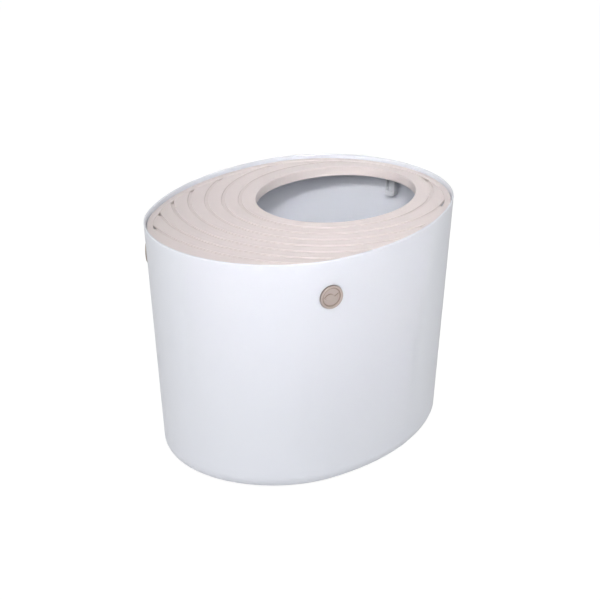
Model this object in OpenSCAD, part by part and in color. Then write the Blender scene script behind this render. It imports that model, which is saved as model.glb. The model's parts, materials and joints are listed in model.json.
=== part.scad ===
// Top-entry cat litter box: a deep oval pan, a grooved drop-in lid with an oval entry hole,
// two snap-in badges, a scoop hook and four rubber feet.
// Frame: +Z up, origin on the floor under the middle of the pan, +X towards the entry hole's end.

/* [Pan] */
// Overall length, along X, at the rim
pan_length = 530; // [440:5:640]
// Overall width, along Y, at the rim
pan_width = 412; // [360:4:500]
// Overall height, from the floor to the rim
pan_height = 370; // [300:5:450]
// How much smaller the radius of the end arcs is than half the width
pan_ease = 14; // [8:1:30]
// Lean of the wall from the vertical, in degrees
wall_draft = 4.2; // [1:0.2:5]
// Thickness of the wall
wall_t = 3; // [2:0.2:4]
// Thickness of the pan's floor
floor_t = 3.4; // [2.4:0.2:5]
// Outer radius between the wall and the floor
heel_r = 27; // [16:1:34]

/* [Lid] */
// Depth of the lid's top face below the rim
lid_recess = 6; // [4:0.5:12]
// Thickness of the lid's border
lid_t = 4; // [3:0.2:6]
// Width of the flat border
border_w = 9.5; // [8:0.5:16]
// Drop from the border to the grooved deck
deck_drop = 1; // [0.4:0.1:1.6]
// Gap between the lid's edge and the wall
lid_gap = 1; // [0.6:0.1:2]
// Width of the inner ledge that the lid rests on
ledge_w = 6; // [5:0.5:9]
// Depth of the locating rib below the border
rib_h = 7; // [4:1:12]
// Thickness of the locating rib
rib_t = 2.4; // [1.6:0.2:3]

/* [Entry hole] */
// Length of the hole, along X
hole_length = 274; // [240:2:290]
// Width of the hole, along Y
hole_width = 232; // [200:2:256]
// How much smaller the radius of the hole's end arcs is than half its width
hole_ease = 12; // [8:1:20]
// Distance from the rim to the hole, at the entry end
hole_margin = 33; // [28:1:60]
// Depth of the collar below the deck
collar_h = 12.5; // [8:0.5:18]
// Thickness of the collar
collar_t = 2.6; // [2:0.2:4]

/* [Grooves] */
// Number of grooves
groove_count = 7; // [3:1:7]
// Distance from the hole's edge to the first groove
groove_start = 22; // [14:1:26]
// Distance from one groove to the next
groove_pitch = 25.6; // [20:0.2:30]
// Width of a groove
groove_w = 5; // [3:0.5:8]
// Depth of a groove
groove_depth = 1.2; // [0.8:0.1:2]
// Width of the strip along the border in which a groove opens into a drain slot
slot_reach = 3.5; // [2:0.5:8]

/* [Badges] */
// Radius of a badge
badge_r = 18; // [14:0.5:22]
// Height of a badge above the wall
badge_proud = 2.6; // [2:0.2:4]
// Direction that a badge faces, in degrees from the hole's end of the pan
badge_turn = 118; // [112:1:150]
// Distance from the rim down to the middle of a badge
badge_drop = 58; // [46:1:90]
// Width of a badge's raised ring
ring_w = 2.8; // [1.6:0.2:4]
// Height of the raised ring above the badge's face
ring_h = 2.2; // [1:0.1:2.4]
// Height of the fish above the badge's face
relief_h = 1.2; // [0.3:0.1:1.4]
// Gap round a badge in its pocket
badge_gap = 0.9; // [0.2:0.1:1.2]
// Radius of a badge's stem
stem_r = 4; // [3:0.2:6]

/* [Hook] */
// Width of the hook
hook_w = 18; // [15:1:26]
// Height of the hook
hook_h = 30; // [26:1:36]
// Depth of the hook, from its back to its front
hook_depth = 8.5; // [8:0.5:14]
// Thickness of the hook's back plate and of its lip
hook_t = 1.8; // [1.4:0.2:2.4]
// Thickness of the hook's sides and bottom
hook_rib = 3; // [2:0.2:3.4]
// Height of the hook's lip
hook_lip = 8; // [6:0.5:14]
// Radius of the hook's lower corners
hook_round = 5; // [4:0.5:6]
// Distance from the rim down to the bottom of the hook
hook_drop = 54.5; // [52:0.5:90]
// Distance from the wall to the hook's back
hook_standoff = 5; // [4:0.5:8]
// Radius of the peg that holds the hook
peg_r = 3; // [2:0.2:4]

/* [Feet] */
// Radius of a foot
foot_r = 11; // [8:0.5:16]
// Height of a foot below the pan
foot_h = 2.5; // [2:0.5:6]
// Distance from the middle of the pan to a foot, along X
foot_x = 120; // [80:2:130]
// Distance from the middle of the pan to a foot, along Y
foot_y = 80; // [60:2:90]

/* [Hidden] */
$fn = 96;

white = [0.87, 0.88, 0.90];
beige = [0.86, 0.81, 0.78];
rubber = [0.42, 0.41, 0.40];

cut = 1;                // how far a cutting tool stands past the face it cuts
overlap = 0.5;          // how far pieces of one solid reach into each other
plate_lap = 3;          // how far the deck runs into the border
fit_gap = 0.15;         // clearance of a snap fit, all round
press_gap = 0.05;       // clearance of a press fit, all round
peg_gap = 0.5;          // space past the end of the hook's peg
seat_depth = 0.3;       // depth of a badge's pocket where the curved wall is lowest in it
pad_margin = 4;         // how far a pad reaches past a badge's stem
boss_margin = 3;        // thickness of the boss round the hook's peg
barb_h = 3;             // height of the barbed head of a badge's stem
barb_lead = 0.5;        // how much smaller than the stem the head's tip is
barb_out = 0.8;         // how far the head stands out past the stem
edge_r = wall_t / 2;    // the rim is rounded over the whole wall

pan_end_r = pan_width / 2 - pan_ease;
hole_end_r = hole_width / 2 - hole_ease;
hole_x = pan_length / 2 - hole_margin - hole_length / 2;

// Levels
base_z = foot_h;                               // underside of the pan
lid_z = pan_height - lid_recess;               // top face of the lid's border
ledge_z = lid_z - lid_t;                       // top face of the ledge
deck_z = lid_z - deck_drop;                    // top face of the deck
deck_t = lid_t - deck_drop;                    // thickness of the deck
collar_z = deck_z - deck_t - collar_h;         // bottom edge of the collar

// The wall's outer face moves in by this much from the rim down to a level
function lean(z) = (pan_height - z) * tan(wall_draft);
// The wall's inner face, measured in from the rim's outline at a level
function inner(z) = lean(z) + wall_t / cos(wall_draft);

lid_in = inner(ledge_z) + lid_gap;             // the lid's edge, in from the rim's outline
ledge_in = inner(ledge_z) + ledge_w;           // the ledge's edge, in from the rim's outline
border_in = lid_in + border_w;                 // the deck's edge, in from the rim's outline

// ---- Ovals of four tangent arcs: two ends of radius r, and two flanks ----
// a and b are half the length and half the width.
function flank_r(a, b, r) = (pow(a - r, 2) + b * b - r * r) / (2 * (b - r));
// Direction in which an end arc meets a flank arc
function joint_turn(a, b, r) = atan2(flank_r(a, b, r) - b, a - r);

// Carries a profile round the oval. The profile's x is 0 on the oval, and grows outwards.
module sweep_oval(a, b, r)
{
    flank = flank_r(a, b, r);
    turn = joint_turn(a, b, r);
    for (side = [0, 180])
        rotate(side)
        {
            translate([a - r, 0])
                rotate_extrude(angle = 2 * turn, start = -turn)
                    translate([r, 0]) children();
            translate([0, b - flank])
                rotate_extrude(angle = 180 - 2 * turn, start = turn)
                    translate([flank, 0]) children();
        }
}

// Points round the same oval, moved in by inset
function arc_points(c, r, from, to, steps) =
    [for (i = [0 : steps - 1]) let (t = from + (to - from) * i / steps)
        [c[0] + r * cos(t), c[1] + r * sin(t)]];
function oval_points(a, b, r, inset, steps = 16) =
    let (flank = flank_r(a, b, r), turn = joint_turn(a, b, r))
    concat(
        arc_points([a - r, 0], r - inset, -turn, turn, steps),
        arc_points([0, b - flank], flank - inset, turn, 180 - turn, steps),
        arc_points([r - a, 0], r - inset, 180 - turn, 180 + turn, steps),
        arc_points([0, flank - b], flank - inset, 180 + turn, 360 - turn, steps));

module sweep_rim() sweep_oval(pan_length / 2, pan_width / 2, pan_end_r) children();
module rim_outline(inset) polygon(oval_points(pan_length / 2, pan_width / 2, pan_end_r, inset));
module hole_outline(inset)
    translate([hole_x, 0]) polygon(oval_points(hole_length / 2, hole_width / 2, hole_end_r, inset));

// ---- Pan ----
// The half-plane side of a drafted wall: everything inboard of the outer face moved in by inset,
// above level low, with a heel of radius r
module drafted_side(inset, low, r, high, reach)
{
    heel_x = (-r + (low + r - pan_height) * sin(wall_draft)) / cos(wall_draft) - inset / cos(wall_draft);
    touch = [heel_x + r * cos(wall_draft), low + r - r * sin(wall_draft)];
    top_x = -(pan_height - high) * tan(wall_draft) - inset / cos(wall_draft);
    polygon([[-reach, low], [heel_x, low], touch, [top_x, high], [-reach, high]]);
    translate([heel_x, low + r]) circle(r);
}

floor_edge = lean(base_z) + heel_r + heel_r;    // how far in the swept wall's foot reaches

module wall_profile()
{
    top = pan_height - edge_r;
    difference()
    {
        drafted_side(0, base_z, heel_r, top, floor_edge);
        drafted_side(wall_t, base_z + floor_t, heel_r - wall_t, top + cut, floor_edge + cut);
    }
    translate([-edge_r, top]) circle(edge_r);
    // Ledge for the lid, with a sloping underside
    polygon([[-inner(ledge_z) + overlap, ledge_z], [-ledge_in, ledge_z], [-ledge_in, ledge_z - wall_t],
             [-inner(ledge_z - wall_t - ledge_w) + overlap, ledge_z - wall_t - ledge_w]]);
}

// Puts its children on the wall's outer face, facing outwards along +Z, with +Y up the wall
module on_wall(turn, drop)
{
    z = pan_height - drop;
    end_centre = pan_length / 2 - pan_end_r;
    r = pan_end_r - lean(z);
    side = cos(turn) > 0 ? 1 : -1;
    translate([side * end_centre + r * cos(turn), r * sin(turn), z])
        rotate([0, 0, turn]) rotate([90 + wall_draft, 0, 90]) children();
}

badge_seat = badge_r * badge_r / (2 * (pan_end_r - lean(pan_height - badge_drop))) + seat_depth;
boss_r = peg_r + boss_margin;
peg_z = pan_height - hook_drop + hook_h - boss_r;              // height of the hook's peg
wall_at_peg = pan_length / 2 - inner(peg_z);                   // inner face of the wall there
hook_back = wall_at_peg - hook_standoff;                       // back of the hook

module foot_spots()
    for (x = [-foot_x, foot_x], y = [-foot_y, foot_y])
        translate([x, y]) children();

module litter_pan() color(white)
    difference()
    {
        union()
        {
            sweep_rim() wall_profile();
            translate([0, 0, base_z]) linear_extrude(floor_t) rim_outline(floor_edge - heel_r / 2);
            // Flat pads inside the wall, behind the badges
            for (side = [-1, 1])
                on_wall(side * badge_turn, badge_drop)
                    translate([0, 0, -wall_t - badge_seat]) cylinder(r = stem_r + pad_margin, h = wall_t);
            // Boss for the hook's peg
            translate([hook_back, 0, peg_z])
                rotate([0, 90, 0]) cylinder(r = boss_r, h = hook_standoff + wall_t / 2);
        }
        for (side = [-1, 1])
            on_wall(side * badge_turn, badge_drop)
            {
                translate([0, 0, -badge_seat])
                    cylinder(r = badge_r + badge_gap, h = badge_seat + badge_proud);
                translate([0, 0, -wall_t - badge_seat - cut])
                    cylinder(r = stem_r + fit_gap, h = wall_t + 2 * cut);
            }
        translate([hook_back - cut, 0, peg_z])
            rotate([0, 90, 0]) cylinder(r = peg_r + press_gap, h = hook_standoff + cut);
        foot_spots()
            translate([0, 0, base_z - cut]) cylinder(r = foot_r, h = cut + floor_t / 2);
    }

// ---- Lid ----
module border()
{
    translate([0, 0, ledge_z]) linear_extrude(lid_t) difference()
    {
        rim_outline(lid_in);
        rim_outline(border_in);
    }
    // Locating rib, just inside the ledge
    translate([0, 0, ledge_z - rib_h]) linear_extrude(rib_h + overlap) difference()
    {
        rim_outline(ledge_in + lid_gap);
        rim_outline(ledge_in + lid_gap + rib_t);
    }
}

module collar()
    translate([0, 0, collar_z]) linear_extrude(deck_z - collar_z) difference()
    {
        hole_outline(-collar_t);
        hole_outline(0);
    }

module groove_outline(i)
    difference()
    {
        hole_outline(-groove_start - i * groove_pitch - groove_w);
        hole_outline(-groove_start - i * groove_pitch);
    }

module deck()
    difference()
    {
        translate([0, 0, ledge_z]) linear_extrude(deck_t) difference()
        {
            rim_outline(border_in - plate_lap);
            hole_outline(-collar_t / 2);
        }
        for (i = [0 : groove_count - 1])
        {
            translate([0, 0, deck_z - groove_depth])
                linear_extrude(groove_depth + cut) groove_outline(i);
            // A drain slot where the groove runs into the border
            translate([0, 0, ledge_z - cut]) linear_extrude(deck_t) difference()
            {
                groove_outline(i);
                rim_outline(border_in + slot_reach);
            }
        }
    }

module lid() color(beige)
{
    border();
    deck();
    collar();
}

// ---- Badges ----
// A fish: two crossed circles and a forked tail, in proportion to the badge
module fish()
{
    body_r = badge_r * 0.65;       // radius of the crossed circles
    body_half = badge_r * 0.3;     // half the body's width
    tail_start = badge_r * 0.25;
    tail_end = badge_r * 0.58;
    tail_fork = badge_r * 0.5;
    tail_half = badge_r * 0.26;    // half the tail's width
    translate([-badge_r * 0.14, 0]) intersection()
    {
        translate([0, body_r - body_half]) circle(body_r);
        translate([0, body_half - body_r]) circle(body_r);
    }
    polygon([[tail_start, 0], [tail_end, tail_half], [tail_fork, 0], [tail_end, -tail_half]]);
}

module badge(side) color(beige)
    on_wall(side * badge_turn, badge_drop)
    {
        face_z = badge_proud - ring_h;
        translate([0, 0, -badge_seat]) cylinder(r = badge_r, h = badge_seat + face_z);
        translate([0, 0, face_z - overlap]) difference()
        {
            cylinder(r = badge_r, h = ring_h + overlap);
            translate([0, 0, -cut]) cylinder(r = badge_r - ring_w, h = ring_h + overlap + 2 * cut);
        }
        translate([0, 0, face_z - overlap]) linear_extrude(overlap + relief_h) fish();
        // Stem with a barbed head that snaps behind the wall
        translate([0, 0, -badge_seat - wall_t - fit_gap - overlap])
            cylinder(r = stem_r, h = wall_t + fit_gap + 2 * overlap);
        translate([0, 0, -badge_seat - wall_t - fit_gap - barb_h])
            cylinder(r1 = stem_r - barb_lead, r2 = stem_r + barb_out, h = barb_h);
    }

module badge_right() badge(-1);
module badge_left() badge(1);

// ---- Hook ----
// Front view of the hook, moved in by inset: straight sides and rounded lower corners
module hook_outline(inset, top)
{
    half = hook_w / 2 - inset;
    r = hook_round - inset;
    translate([-half, hook_round]) square([2 * half, top - hook_round]);
    translate([r - half, inset]) square([2 * (half - r), hook_round]);
    for (side = [-1, 1])
        translate([side * (half - r), hook_round]) circle(r);
}

// A pocket that is open at the top: a back plate, a rim round three sides and a low lip in front
module scoop_hook() color(white)
{
    translate([hook_back, 0, pan_height - hook_drop])
        rotate([90, 0, -90]) difference()
        {
            linear_extrude(hook_depth) hook_outline(0, hook_h);
            translate([0, 0, hook_t])
                linear_extrude(hook_depth - 2 * hook_t) hook_outline(hook_rib, hook_h + cut);
            translate([hook_rib - hook_w / 2, hook_lip, hook_depth - hook_t - overlap])
                cube([hook_w - 2 * hook_rib, hook_h, hook_t + overlap + cut]);
        }
    translate([hook_back - overlap, 0, peg_z])
        rotate([0, 90, 0]) cylinder(r = peg_r, h = hook_standoff - peg_gap + overlap);
}

// ---- Feet ----
module foot(x_side, y_side) color(rubber)
    translate([x_side * foot_x, y_side * foot_y])
        cylinder(r = foot_r - fit_gap, h = foot_h + floor_t / 2);

module foot_front_right() foot(-1, -1);
module foot_front_left() foot(-1, 1);
module foot_rear_right() foot(1, -1);
module foot_rear_left() foot(1, 1);

litter_pan();
lid();
badge_right();
badge_left();
scoop_hook();
foot_front_right();
foot_front_left();
foot_rear_right();
foot_rear_left();
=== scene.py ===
"""Looks of a top-entry cat litter box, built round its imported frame.

The frame fixes every size and place. Each sub-assembly is a class that holds its sizes in
millimetres, builds its meshes in the shared frame and dresses them with a moulded finish.
"""

from __future__ import annotations

import json
import logging
import math
from dataclasses import dataclass, field
from enum import Enum
from typing import Callable, Sequence

import bmesh
import bpy
from mathutils import Matrix, Vector

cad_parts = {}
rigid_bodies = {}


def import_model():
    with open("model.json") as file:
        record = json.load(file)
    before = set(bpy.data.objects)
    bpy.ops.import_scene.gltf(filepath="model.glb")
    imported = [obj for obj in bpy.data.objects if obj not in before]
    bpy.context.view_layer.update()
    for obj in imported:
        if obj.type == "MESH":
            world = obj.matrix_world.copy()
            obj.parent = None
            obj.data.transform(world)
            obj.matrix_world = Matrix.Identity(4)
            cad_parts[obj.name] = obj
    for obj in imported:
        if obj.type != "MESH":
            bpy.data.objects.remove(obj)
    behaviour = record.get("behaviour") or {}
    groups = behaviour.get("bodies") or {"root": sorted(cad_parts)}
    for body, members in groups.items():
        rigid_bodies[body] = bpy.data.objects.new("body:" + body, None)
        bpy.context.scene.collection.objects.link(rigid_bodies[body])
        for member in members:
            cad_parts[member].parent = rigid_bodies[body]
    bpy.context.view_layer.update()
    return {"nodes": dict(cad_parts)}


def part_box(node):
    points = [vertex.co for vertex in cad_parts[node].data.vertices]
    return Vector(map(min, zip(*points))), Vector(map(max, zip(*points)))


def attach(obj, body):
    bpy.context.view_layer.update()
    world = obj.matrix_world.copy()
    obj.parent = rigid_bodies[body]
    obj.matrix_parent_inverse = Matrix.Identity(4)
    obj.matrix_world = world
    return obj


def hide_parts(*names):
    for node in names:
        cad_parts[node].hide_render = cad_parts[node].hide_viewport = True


LOG = logging.getLogger("litter_box")
MM = 0.001
Point = tuple[float, float, float]
Colour = tuple[float, float, float, float]


class Body(Enum):
    """The two bodies of the frame."""

    PAN = "pan"
    LID = "lid"


class Side(Enum):
    """The two flanks, seen from the middle of the pan towards the entry end."""

    RIGHT = -1
    LEFT = 1


# ---------------------------------------------------------------- outlines


@dataclass(frozen=True)
class Oval:
    """A closed outline of four tangent arcs: two tight ends and two shallow flanks."""

    length: float
    width: float
    ease: float
    centre_x: float = 0.0

    @property
    def end_r(self) -> float:
        """Radius of the end arcs."""
        return self.width / 2 - self.ease

    @property
    def end_x(self) -> float:
        """Distance from the oval's middle to the centre of an end arc."""
        return self.length / 2 - self.end_r

    @property
    def flank_r(self) -> float:
        """Radius of the flank arcs."""
        half = self.width / 2
        return (self.end_x**2 + half**2 - self.end_r**2) / (2 * self.ease)

    @property
    def flank_y(self) -> float:
        """Distance from the oval's middle to the centre of a flank arc."""
        return self.flank_r - self.width / 2

    @property
    def turn(self) -> float:
        """Direction in which an end arc hands over to a flank arc."""
        return math.atan2(self.flank_y, self.end_x)

    def point(self, angle: float, inset: float = 0.0) -> tuple[float, float]:
        """Finds the point of the outline that faces a direction.

        Args:
            angle: Direction of the outward normal, in radians from +X.
            inset: How far the point is moved inwards along that normal.

        Returns:
            The point's x and y.
        """
        wrapped = math.remainder(angle, math.tau)
        if abs(wrapped) <= self.turn:
            cx, cy, r = self.end_x, 0.0, self.end_r
        elif abs(wrapped) >= math.pi - self.turn:
            cx, cy, r = -self.end_x, 0.0, self.end_r
        else:
            cx, cy, r = 0.0, -math.copysign(self.flank_y, wrapped), self.flank_r
        reach = r - inset
        return (
            self.centre_x + cx + reach * math.cos(angle),
            cy + reach * math.sin(angle),
        )

    def locate(self, x: float, y: float) -> tuple[float, float]:
        """Finds where a point lies, seen from the outline.

        Args:
            x: The point's x.
            y: The point's y.

        Returns:
            The direction of the nearest normal, and the distance inside the outline.
        """
        along, across = x - self.centre_x, y
        ax, ay = abs(along), abs(across)
        if math.atan2(ay, ax - self.end_x) <= self.turn:
            dx, dy, r = ax - self.end_x, ay, self.end_r
        else:
            dx, dy, r = ax, ay + self.flank_y, self.flank_r
        angle = math.atan2(math.copysign(dy, across), math.copysign(dx, along))
        return angle, r - math.hypot(dx, dy)


@dataclass(frozen=True)
class Sizes:
    """The driving dimensions of the box, in millimetres and degrees."""

    height: float = 370.0
    length: float = 530.0
    width: float = 412.0
    ease: float = 14.0
    draft: float = 4.2
    wall_t: float = 3.0
    floor_t: float = 3.4
    heel_r: float = 27.0
    foot_h: float = 2.5
    lid_recess: float = 6.0
    lid_t: float = 4.0
    border_w: float = 9.5
    deck_drop: float = 1.0
    lid_gap: float = 1.0
    ledge_w: float = 6.0
    rib_h: float = 7.0
    rib_t: float = 2.4
    hole_length: float = 274.0
    hole_width: float = 232.0
    hole_ease: float = 12.0
    hole_margin: float = 33.0
    collar_h: float = 12.5
    collar_t: float = 2.6
    lip_r: float = 1.0
    groove_count: int = 7
    groove_start: float = 22.0
    groove_pitch: float = 25.6
    groove_w: float = 5.0
    groove_depth: float = 1.2
    slot_reach: float = 3.5

    @property
    def lean(self) -> float:
        """The draft in radians."""
        return math.radians(self.draft)

    @property
    def rim(self) -> Oval:
        """The pan's outline at the rim."""
        return Oval(self.length, self.width, self.ease)

    @property
    def hole(self) -> Oval:
        """The outline of the entry hole."""
        middle = self.length / 2 - self.hole_margin - self.hole_length / 2
        return Oval(self.hole_length, self.hole_width, self.hole_ease, middle)

    @property
    def lid_z(self) -> float:
        """Level of the lid's border."""
        return self.height - self.lid_recess

    @property
    def ledge_z(self) -> float:
        """Level of the ledge that carries the lid."""
        return self.lid_z - self.lid_t

    @property
    def deck_z(self) -> float:
        """Level of the grooved deck."""
        return self.lid_z - self.deck_drop

    def wall_in(self, z: float, deep: float = 0.0) -> float:
        """Finds how far the wall has moved in from the rim.

        Args:
            z: Level on the wall.
            deep: Depth below the wall's outer face.

        Returns:
            The distance in from the rim's outline.
        """
        return (self.height - z) * math.tan(self.lean) + deep / math.cos(self.lean)

    def inner(self, z: float) -> float:
        """Distance from the rim's outline to the wall's inner face at a level."""
        return self.wall_in(z, self.wall_t)

    @property
    def lid_in(self) -> float:
        """Distance from the rim's outline to the lid's edge."""
        return self.inner(self.ledge_z) + self.lid_gap

    @property
    def ledge_in(self) -> float:
        """Distance from the rim's outline to the ledge's edge."""
        return self.inner(self.ledge_z) + self.ledge_w

    @property
    def border_in(self) -> float:
        """Distance from the rim's outline to the deck's edge."""
        return self.lid_in + self.border_w

    def on_wall(self, turn: float, drop: float) -> Matrix:
        """Makes the placement of a piece that sits on the wall's outer face.

        Args:
            turn: Direction that the place faces, in radians from +X.
            drop: Distance from the rim down to the place.

        Returns:
            A matrix in metres that turns +Z outwards and +Y up the wall.
        """
        z = self.height - drop
        x, y = self.rim.point(turn, self.wall_in(z))
        out = Vector((math.cos(turn), math.sin(turn), 0.0))
        up = Vector((0.0, 0.0, 1.0))
        normal = (out * math.cos(self.lean) - up * math.sin(self.lean)).normalized()
        climb = (up * math.cos(self.lean) + out * math.sin(self.lean)).normalized()
        across = climb.cross(normal)
        axes = Matrix((across, climb, normal)).transposed().to_4x4()
        return Matrix.Translation(Vector((x, y, z)) * MM) @ axes


# ---------------------------------------------------------------- mesh building


class Skin:
    """Collects vertices and faces, in millimetres, and turns them into an object."""

    def __init__(self) -> None:
        """Starts an empty skin."""
        self.points: list[Point] = []
        self.faces: list[list[int]] = []

    def row(self, points: Sequence[Point]) -> list[int]:
        """Adds a row of points and returns their numbers.

        Args:
            points: The points, in millimetres.

        Returns:
            The points' numbers.
        """
        first = len(self.points)
        self.points.extend(points)
        return list(range(first, len(self.points)))

    def bridge(
        self,
        low: Sequence[int],
        high: Sequence[int],
        keep: Callable[[int], bool] = lambda column: True,
    ) -> None:
        """Joins two closed rows with quads.

        Args:
            low: Numbers of the first row's points.
            high: Numbers of the second row's points.
            keep: Says whether the quad in a column is made.
        """
        count = len(low)
        for j in range(count):
            k = (j + 1) % count
            if keep(j):
                self.faces.append([low[j], low[k], high[k], high[j]])

    def cap(self, row: Sequence[int]) -> None:
        """Closes a flat row with one face."""
        self.faces.append(list(row))

    def mesh(self, name: str) -> bpy.types.Mesh:
        """Makes the mesh, in metres.

        Args:
            name: The mesh's name.

        Returns:
            The new mesh.
        """
        made = bpy.data.meshes.new(name)
        scaled = [(x * MM, y * MM, z * MM) for x, y, z in self.points]
        made.from_pydata(scaled, [], self.faces)
        return made


def tidy_mesh(
    mesh: bpy.types.Mesh, sharp_deg: float = 34.0, outwards: bool = True
) -> None:
    """Merges doubles, points the faces outwards and smooths all but the sharp edges.

    Args:
        mesh: The mesh to tidy.
        sharp_deg: Edges that turn more than this stay crisp.
        outwards: Whether the faces' directions are worked out again.
    """
    work = bmesh.new()
    work.from_mesh(mesh)
    bmesh.ops.remove_doubles(work, verts=work.verts, dist=2e-6)
    bmesh.ops.dissolve_degenerate(work, dist=1e-6, edges=work.edges)
    if outwards:
        bmesh.ops.recalc_face_normals(work, faces=work.faces)
    for face in work.faces:
        face.smooth = True
    work.to_mesh(mesh)
    work.free()
    mesh.set_sharp_from_angle(angle=math.radians(sharp_deg))


def add_object(mesh: bpy.types.Mesh) -> bpy.types.Object:
    """Links a mesh into the scene as an object of the same name.

    Args:
        mesh: The mesh to link.

    Returns:
        The new object.
    """
    made = bpy.data.objects.new(mesh.name, mesh)
    bpy.context.scene.collection.objects.link(made)
    return made


def arc(
    centre: tuple[float, float], r: float, start: float, end: float, steps: int
) -> list[tuple[float, float]]:
    """Lists the points of an arc.

    Args:
        centre: The arc's centre.
        r: Its radius.
        start: First direction, in degrees.
        end: Last direction, in degrees.
        steps: Number of stretches between the points.

    Returns:
        The points, first and last included.
    """
    turns = [math.radians(start + (end - start) * i / steps) for i in range(steps + 1)]
    return [(centre[0] + r * math.cos(t), centre[1] + r * math.sin(t)) for t in turns]


def lathe(
    skin: Skin, profile: Sequence[tuple[float, float]], columns: int = 72
) -> None:
    """Turns a profile round the Z axis into a closed skin.

    Args:
        skin: The skin that takes the faces.
        profile: Radius and height of each ring, from one flat end to the other.
        columns: Number of points round.
    """
    turns = [math.tau * j / columns for j in range(columns)]
    rows = [
        skin.row([(r * math.cos(t), r * math.sin(t), z) for t in turns])
        for r, z in profile
    ]
    for low, high in zip(rows, rows[1:]):
        skin.bridge(low, high)
    skin.cap(rows[0][::-1])
    skin.cap(rows[-1])


def keep_result(piece: bpy.types.Object, modifier: bpy.types.Modifier) -> None:
    """Turns a piece with a modifier into a plain mesh.

    Args:
        piece: The piece that has the modifier.
        modifier: The modifier, which is removed.
    """
    graph = bpy.context.evaluated_depsgraph_get()
    result = bpy.data.meshes.new_from_object(piece.evaluated_get(graph))
    piece.modifiers.remove(modifier)
    old, name = piece.data, piece.data.name
    piece.data = result
    bpy.data.meshes.remove(old)
    result.name = name


def cut_out(piece: bpy.types.Object, tool: bpy.types.Object) -> None:
    """Cuts one solid out of a piece and removes the tool.

    Args:
        piece: The piece that is cut.
        tool: The solid that is taken away.
    """
    cut = piece.modifiers.new("cut", "BOOLEAN")
    cut.operation = "DIFFERENCE"
    cut.solver = "EXACT"
    cut.object = tool
    keep_result(piece, cut)
    bpy.data.objects.remove(tool)
    piece.data.set_sharp_from_angle(angle=math.radians(34.0))


def add_parts(piece: bpy.types.Object, skin: Skin) -> None:
    """Joins a skin's faces to a piece's mesh.

    Args:
        piece: The piece that takes the faces.
        skin: The skin with the faces.
    """
    extra = skin.mesh("extra")
    tidy_mesh(extra)
    work = bmesh.new()
    work.from_mesh(piece.data)
    work.from_mesh(extra)
    work.to_mesh(piece.data)
    work.free()
    bpy.data.meshes.remove(extra)


def dress(
    piece: bpy.types.Object,
    material: bpy.types.Material,
    body: Body,
    node: str,
    slot: str,
) -> None:
    """Gives a piece its material and ties it to the frame.

    Args:
        piece: The finished piece.
        material: Its material.
        body: The body that it moves with.
        node: The frame's node that it stands for.
        slot: The record's material slot; not used.
    """
    piece.data.materials.clear()
    piece.data.materials.append(material)
    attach(piece, body.value)
    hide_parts(node)
    LOG.info("%s: %d faces on %s", piece.name, len(piece.data.polygons), body.value)


# ---------------------------------------------------------------- finishes


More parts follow.
